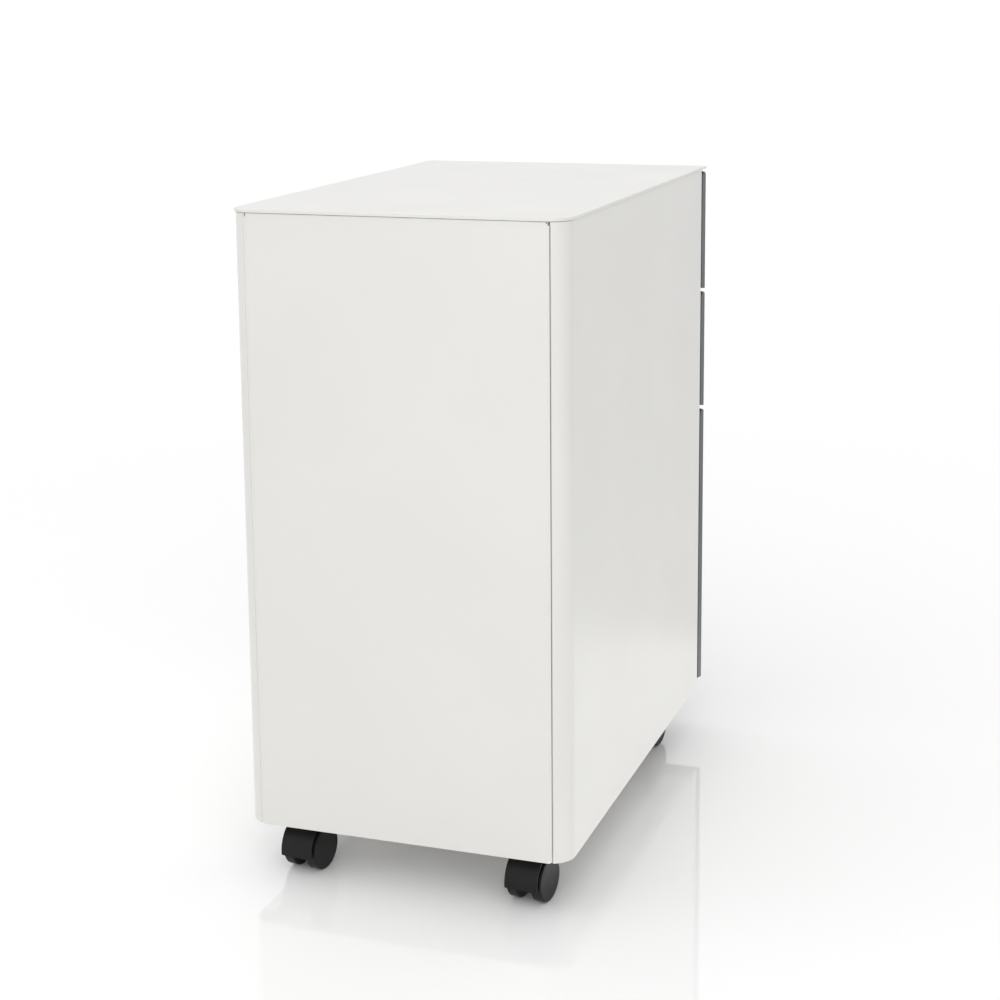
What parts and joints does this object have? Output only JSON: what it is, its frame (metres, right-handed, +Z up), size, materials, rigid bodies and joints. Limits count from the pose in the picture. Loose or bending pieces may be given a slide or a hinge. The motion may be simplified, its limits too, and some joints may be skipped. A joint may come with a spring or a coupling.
{
  "type": "filing cabinet",
  "caption": "Slim steel filing cabinet on twin-wheel casters: low drawers over a tall file drawer, rounded rear corners and a thin overhanging top plate.",
  "frame": {"origin": "on the floor, under the middle of the bounding box", "axes": "+Z up, -Y is the drawer side, +X is to the right of a person facing the drawers"},
  "size_m": [0.303, 0.488, 0.598],
  "materials": {
    "carcass_paint": "satin white powder coat",
    "front_paint": "fine-textured dark grey powder coat",
    "tray_paint": "satin light grey powder coat",
    "galvanised_steel": "zinc-plated sheet",
    "runner_steel": "bright zinc-plated steel",
    "zinc_screws": "zinc-plated",
    "axle_steel": "ground steel",
    "lock_metal": "nickel-plated",
    "caster_plastic": "fine-textured black nylon",
    "wheel_plastic": "satin black nylon"
  },
  "bodies": {
    "cabinet": {"top_panel": "carcass_paint", "left_side_panel": "carcass_paint", "right_side_panel": "carcass_paint", "back_panel": "carcass_paint", "base_panel": "carcass_paint", "front_top_rail": "carcass_paint", "left_rear_upright": "galvanised_steel", "right_rear_upright": "galvanised_steel", "caster_screws": "zinc_screws", "top_drawer_left_cabinet_runner": "runner_steel", "top_drawer_right_cabinet_runner": "runner_steel", "middle_drawer_left_cabinet_runner": "runner_steel", "middle_drawer_right_cabinet_runner": "runner_steel", "file_drawer_left_cabinet_runner": "runner_steel", "file_drawer_right_cabinet_runner": "runner_steel", "rear_left_caster_plate": "galvanised_steel", "rear_right_caster_plate": "galvanised_steel", "front_left_caster_plate": "galvanised_steel", "front_right_caster_plate": "galvanised_steel"},
    "top_drawer": {"top_drawer_front": "front_paint", "top_drawer_tray": "tray_paint", "top_drawer_left_drawer_runner": "runner_steel", "top_drawer_right_drawer_runner": "runner_steel", "lock_barrel": "lock_metal"},
    "top_drawer_middle_runners": {"top_drawer_left_middle_runner": "runner_steel", "top_drawer_right_middle_runner": "runner_steel"},
    "middle_drawer": {"middle_drawer_front": "front_paint", "middle_drawer_tray": "tray_paint", "middle_drawer_left_drawer_runner": "runner_steel", "middle_drawer_right_drawer_runner": "runner_steel"},
    "middle_drawer_middle_runners": {"middle_drawer_left_middle_runner": "runner_steel", "middle_drawer_right_middle_runner": "runner_steel"},
    "file_drawer": {"file_drawer_front": "front_paint", "file_drawer_tray": "tray_paint", "file_drawer_left_drawer_runner": "runner_steel", "file_drawer_right_drawer_runner": "runner_steel", "front_file_rail": "runner_steel", "rear_file_rail": "runner_steel"},
    "file_drawer_middle_runners": {"file_drawer_left_middle_runner": "runner_steel", "file_drawer_right_middle_runner": "runner_steel"},
    "lock": {"lock_plug": "lock_metal", "lock_cam": "runner_steel"},
    "rear_left_caster": {"rear_left_caster_hood": "caster_plastic", "rear_left_caster_axle": "axle_steel"},
    "rear_left_caster_left_wheel": {"rear_left_caster_left_wheel": "wheel_plastic"},
    "rear_left_caster_right_wheel": {"rear_left_caster_right_wheel": "wheel_plastic"},
    "rear_right_caster": {"rear_right_caster_hood": "caster_plastic", "rear_right_caster_axle": "axle_steel"},
    "rear_right_caster_left_wheel": {"rear_right_caster_left_wheel": "wheel_plastic"},
    "rear_right_caster_right_wheel": {"rear_right_caster_right_wheel": "wheel_plastic"},
    "front_left_caster": {"front_left_caster_hood": "caster_plastic", "front_left_caster_axle": "axle_steel"},
    "front_left_caster_left_wheel": {"front_left_caster_left_wheel": "wheel_plastic"},
    "front_left_caster_right_wheel": {"front_left_caster_right_wheel": "wheel_plastic"},
    "front_right_caster": {"front_right_caster_hood": "caster_plastic", "front_right_caster_axle": "axle_steel"},
    "front_right_caster_left_wheel": {"front_right_caster_left_wheel": "wheel_plastic"},
    "front_right_caster_right_wheel": {"front_right_caster_right_wheel": "wheel_plastic"}
  },
  "joints": [
    {"name": "top_drawer_slide", "type": "slide", "parent": "cabinet", "child": "top_drawer", "axis": [0, -1, 0], "range_m": [0, 0.4]},
    {"name": "top_drawer_runner_slide", "type": "slide", "parent": "cabinet", "child": "top_drawer_middle_runners", "axis": [0, -1, 0], "range_m": [0, 0.2]},
    {"name": "middle_drawer_slide", "type": "slide", "parent": "cabinet", "child": "middle_drawer", "axis": [0, -1, 0], "range_m": [0, 0.4]},
    {"name": "middle_drawer_runner_slide", "type": "slide", "parent": "cabinet", "child": "middle_drawer_middle_runners", "axis": [0, -1, 0], "range_m": [0, 0.2]},
    {"name": "file_drawer_slide", "type": "slide", "parent": "cabinet", "child": "file_drawer", "axis": [0, -1, 0], "range_m": [0, 0.4]},
    {"name": "file_drawer_runner_slide", "type": "slide", "parent": "cabinet", "child": "file_drawer_middle_runners", "axis": [0, -1, 0], "range_m": [0, 0.2]},
    {"name": "lock_turn", "type": "hinge", "parent": "top_drawer", "child": "lock", "pos_m": [0.118, -0.232, 0.5615], "axis": [0, 1, 0], "range_deg": [0, 90]},
    {"name": "rear_left_caster_swivel", "type": "hinge", "parent": "cabinet", "child": "rear_left_caster", "pos_m": [-0.11, 0.1975, 0.048], "axis": [0, 0, 1], "continuous": true},
    {"name": "rear_left_caster_left_wheel_roll", "type": "hinge", "parent": "rear_left_caster", "child": "rear_left_caster_left_wheel", "pos_m": [-0.11967, 0.21289, 0.02], "axis": [0.9914, -0.1305, 0], "continuous": true},
    {"name": "rear_left_caster_right_wheel_roll", "type": "hinge", "parent": "rear_left_caster", "child": "rear_left_caster_right_wheel", "pos_m": [-0.09667, 0.20987, 0.02], "axis": [0.9914, -0.1305, 0], "continuous": true},
    {"name": "rear_right_caster_swivel", "type": "hinge", "parent": "cabinet", "child": "rear_right_caster", "pos_m": [0.101, 0.1975, 0.048], "axis": [0, 0, 1], "continuous": true},
    {"name": "rear_right_caster_left_wheel_roll", "type": "hinge", "parent": "rear_right_caster", "child": "rear_right_caster_left_wheel", "pos_m": [0.09133, 0.21289, 0.02], "axis": [0.9914, -0.1305, 0], "continuous": true},
    {"name": "rear_right_caster_right_wheel_roll", "type": "hinge", "parent": "rear_right_caster", "child": "rear_right_caster_right_wheel", "pos_m": [0.11433, 0.20987, 0.02], "axis": [0.9914, -0.1305, 0], "continuous": true},
    {"name": "front_left_caster_swivel", "type": "hinge", "parent": "cabinet", "child": "front_left_caster", "pos_m": [-0.11, -0.1815, 0.048], "axis": [0, 0, 1], "continuous": true},
    {"name": "front_left_caster_left_wheel_roll", "type": "hinge", "parent": "front_left_caster", "child": "front_left_caster_left_wheel", "pos_m": [-0.11967, -0.16611, 0.02], "axis": [0.9914, -0.1305, 0], "continuous": true},
    {"name": "front_left_caster_right_wheel_roll", "type": "hinge", "parent": "front_left_caster", "child": "front_left_caster_right_wheel", "pos_m": [-0.09667, -0.16913, 0.02], "axis": [0.9914, -0.1305, 0], "continuous": true},
    {"name": "front_right_caster_swivel", "type": "hinge", "parent": "cabinet", "child": "front_right_caster", "pos_m": [0.101, -0.1815, 0.048], "axis": [0, 0, 1], "continuous": true},
    {"name": "front_right_caster_left_wheel_roll", "type": "hinge", "parent": "front_right_caster", "child": "front_right_caster_left_wheel", "pos_m": [0.09133, -0.16611, 0.02], "axis": [0.9914, -0.1305, 0], "continuous": true},
    {"name": "front_right_caster_right_wheel_roll", "type": "hinge", "parent": "front_right_caster", "child": "front_right_caster_right_wheel", "pos_m": [0.11433, -0.16913, 0.02], "axis": [0.9914, -0.1305, 0], "continuous": true}
  ],
  "couplings": [
    {"joint": "top_drawer_runner_slide", "follows": "top_drawer_slide", "ratio": 0.5},
    {"joint": "middle_drawer_runner_slide", "follows": "middle_drawer_slide", "ratio": 0.5},
    {"joint": "file_drawer_runner_slide", "follows": "file_drawer_slide", "ratio": 0.5}
  ]
}
